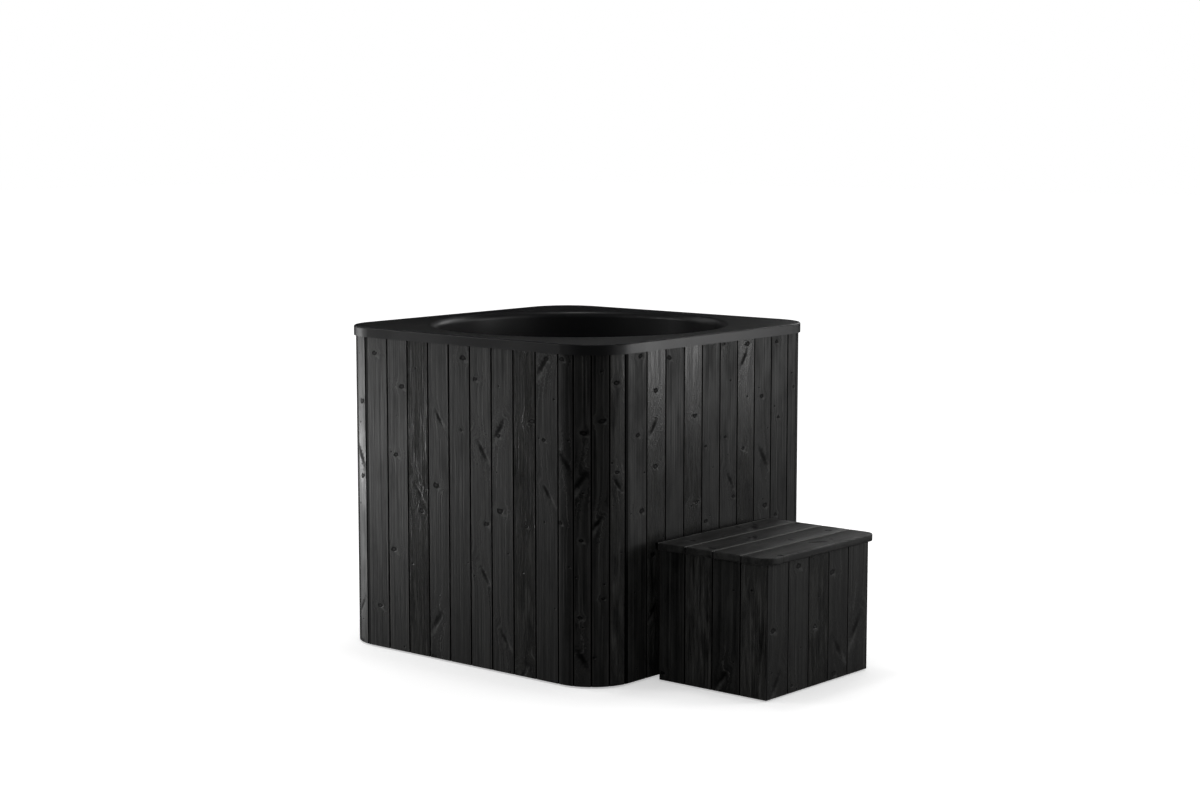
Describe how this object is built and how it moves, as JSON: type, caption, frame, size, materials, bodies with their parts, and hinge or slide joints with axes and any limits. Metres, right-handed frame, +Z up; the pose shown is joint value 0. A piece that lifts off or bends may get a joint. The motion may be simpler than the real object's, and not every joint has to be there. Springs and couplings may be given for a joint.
{
  "type": "cold plunge tub with step",
  "caption": "Square round-cornered plunge tub with a deep round moulded bowl, upright dark board cladding, rear drain valve and a free-standing slatted box step.",
  "frame": {"origin": "on the floor, under the centre of the tub: the middle of the middle runner's underside", "axes": "+Z up; the step stands on the -Y side (the front) and the drain valve on the +Y side (the rear); +X to the right for someone who faces the front"},
  "size_m": [1.078, 1.622, 1],
  "materials": {
    "stained_boards": "near-black stain on knotty pine, matte",
    "shell": "black satin moulded polyethylene",
    "timber": "planed softwood",
    "plywood": "raw plywood",
    "foam": "rigid foam",
    "stainless": "brushed stainless",
    "zinc_steel": "zinc plated",
    "rubber": "black rubber",
    "pipe_plastic": "grey pipe plastic",
    "brass": "forged brass",
    "seat_plastic": "white PTFE"
  },
  "bodies": {
    "tub": {"base_runner_left": "timber", "base_runner_middle": "timber", "base_runner_right": "timber", "floor_panel": "plywood", "lower_ring": "plywood", "middle_ring": "plywood", "upper_ring": "plywood", "corner_post_front_left": "timber", "corner_post_front_right": "timber", "corner_post_rear_right": "timber", "corner_post_rear_left": "timber", "frame_screws": "zinc_steel", "base_insulation": "foam", "wall_insulation": "foam", "tub_shell": "shell", "cladding_front": "stained_boards", "cladding_right": "stained_boards", "cladding_rear": "stained_boards", "cladding_left": "stained_boards", "corner_slats_front_left": "stained_boards", "corner_slats_front_right": "stained_boards", "corner_slats_rear_right": "stained_boards", "corner_slats_rear_left": "stained_boards", "drain_flange": "stainless", "drain_grate": "stainless", "drain_seal": "rubber", "drain_nut": "stainless", "drain_elbow": "pipe_plastic", "drain_pipe": "pipe_plastic", "wall_collar": "pipe_plastic", "valve_body": "brass", "valve_seats": "seat_plastic", "valve_end": "brass", "packing_nut": "brass"},
    "valve_turn": {"valve_ball": "stainless", "valve_stem": "stainless", "valve_lever": "stainless", "lever_grip": "rubber", "lever_nut": "stainless"},
    "step": {"step_boards_front": "stained_boards", "step_boards_right": "stained_boards", "step_boards_rear": "stained_boards", "step_boards_left": "stained_boards", "step_post_front_left": "timber", "step_post_front_right": "timber", "step_post_rear_right": "timber", "step_post_rear_left": "timber", "step_upper_rails": "timber", "step_lower_rails": "timber", "step_bearer": "timber", "tread_board_1": "stained_boards", "tread_board_2": "stained_boards", "tread_board_3": "stained_boards", "tread_board_4": "stained_boards", "tread_screws": "zinc_steel", "step_glides": "rubber"}
  },
  "joints": [
    {"name": "valve_lever_turn", "type": "hinge", "parent": "tub", "child": "valve_turn", "pos_m": [0, 0.589, 0.105], "axis": [0, 0, 1], "range_deg": [0, 90]},
    {"name": "step_slide", "type": "slide", "parent": "tub", "child": "step", "axis": [0, -1, 0], "range_m": [0, 0.5]}
  ]
}
